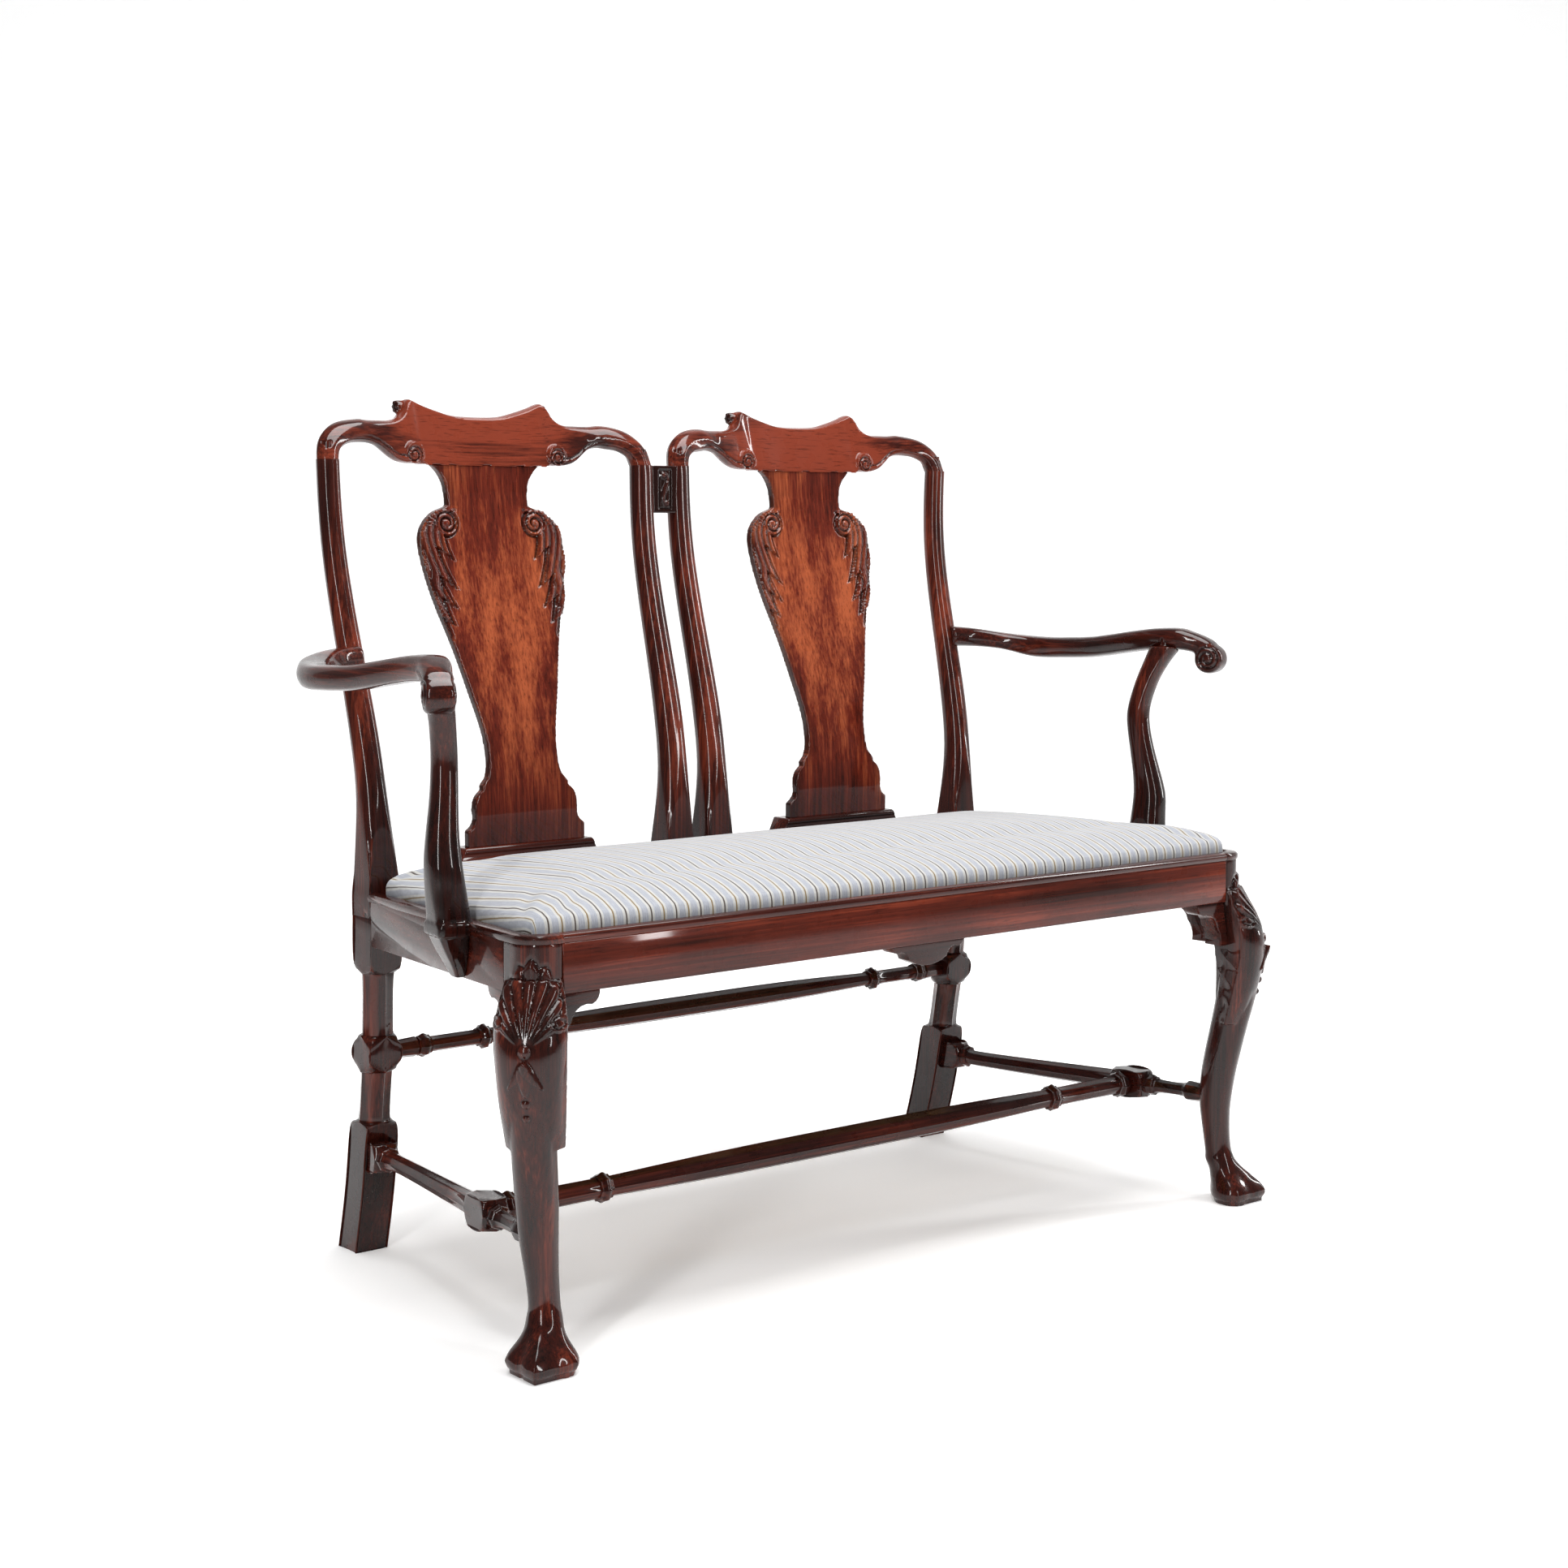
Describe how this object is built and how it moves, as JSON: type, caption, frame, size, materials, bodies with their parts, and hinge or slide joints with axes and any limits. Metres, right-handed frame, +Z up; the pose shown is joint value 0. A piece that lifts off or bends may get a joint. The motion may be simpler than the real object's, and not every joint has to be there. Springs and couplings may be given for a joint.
{
  "type": "chairback settee",
  "caption": "Double chairback settee in mahogany with vase-shaped splats, scrolled arms, cabriole front legs, turned stretchers and a lift-out striped seat",
  "frame": {"origin": "on the floor, under the middle of the settee's bounding box", "axes": "+X along the settee to the sitter's left, +Y to the back, +Z up"},
  "size_m": [1.1828, 0.5988, 0.999],
  "materials": {
    "mahogany": "dark red-brown French polish",
    "figured_mahogany": "figured red-brown veneer, polished",
    "beech": "raw planed beech",
    "secondary_wood": "raw planed softwood",
    "webbing": "woven jute",
    "hessian": "open woven jute",
    "stuffing": "hair and cotton felt",
    "striped_cloth": "plain weave linen with narrow stripes",
    "steel": "dull steel"
  },
  "bodies": {
    "frame": {"apron_drop": "mahogany", "arm_left": "mahogany", "arm_right": "mahogany", "arm_screws": "steel", "arm_support_left": "mahogany", "arm_support_right": "mahogany", "corner_blocks": "secondary_wood", "crest_rail_left": "mahogany", "crest_rail_right": "mahogany", "cross_stretcher": "mahogany", "front_leg_left": "mahogany", "front_leg_right": "mahogany", "front_seat_rail": "mahogany", "inner_stile_left": "mahogany", "inner_stile_right": "mahogany", "joint_pegs": "mahogany", "knee_bracket_front_left": "mahogany", "knee_bracket_front_right": "mahogany", "knee_bracket_side_left": "mahogany", "knee_bracket_side_right": "mahogany", "rear_leg_stile_left": "mahogany", "rear_leg_stile_right": "mahogany", "rear_seat_rail": "mahogany", "rear_stretcher": "mahogany", "seat_brace": "secondary_wood", "seat_lip_front": "mahogany", "seat_lip_side_left": "mahogany", "seat_lip_side_right": "mahogany", "side_seat_rail_left": "mahogany", "side_seat_rail_right": "mahogany", "side_stretcher_left": "mahogany", "side_stretcher_right": "mahogany", "splat_left": "figured_mahogany", "splat_right": "figured_mahogany", "splat_shoe_left": "mahogany", "splat_shoe_right": "mahogany", "stile_link_block": "mahogany"},
    "slip_seat": {"cover_tacks": "steel", "seat_cover": "striped_cloth", "seat_hessian": "hessian", "seat_stuffing": "stuffing", "seat_webbing": "webbing", "slip_rail_centre": "beech", "slip_rail_front": "beech", "slip_rail_left": "beech", "slip_rail_rear": "beech", "slip_rail_right": "beech"}
  },
  "joints": [
    {"name": "seat_lift", "type": "slide", "parent": "frame", "child": "slip_seat", "axis": [0, 0, 1], "range_m": [0, 0.3]}
  ]
}
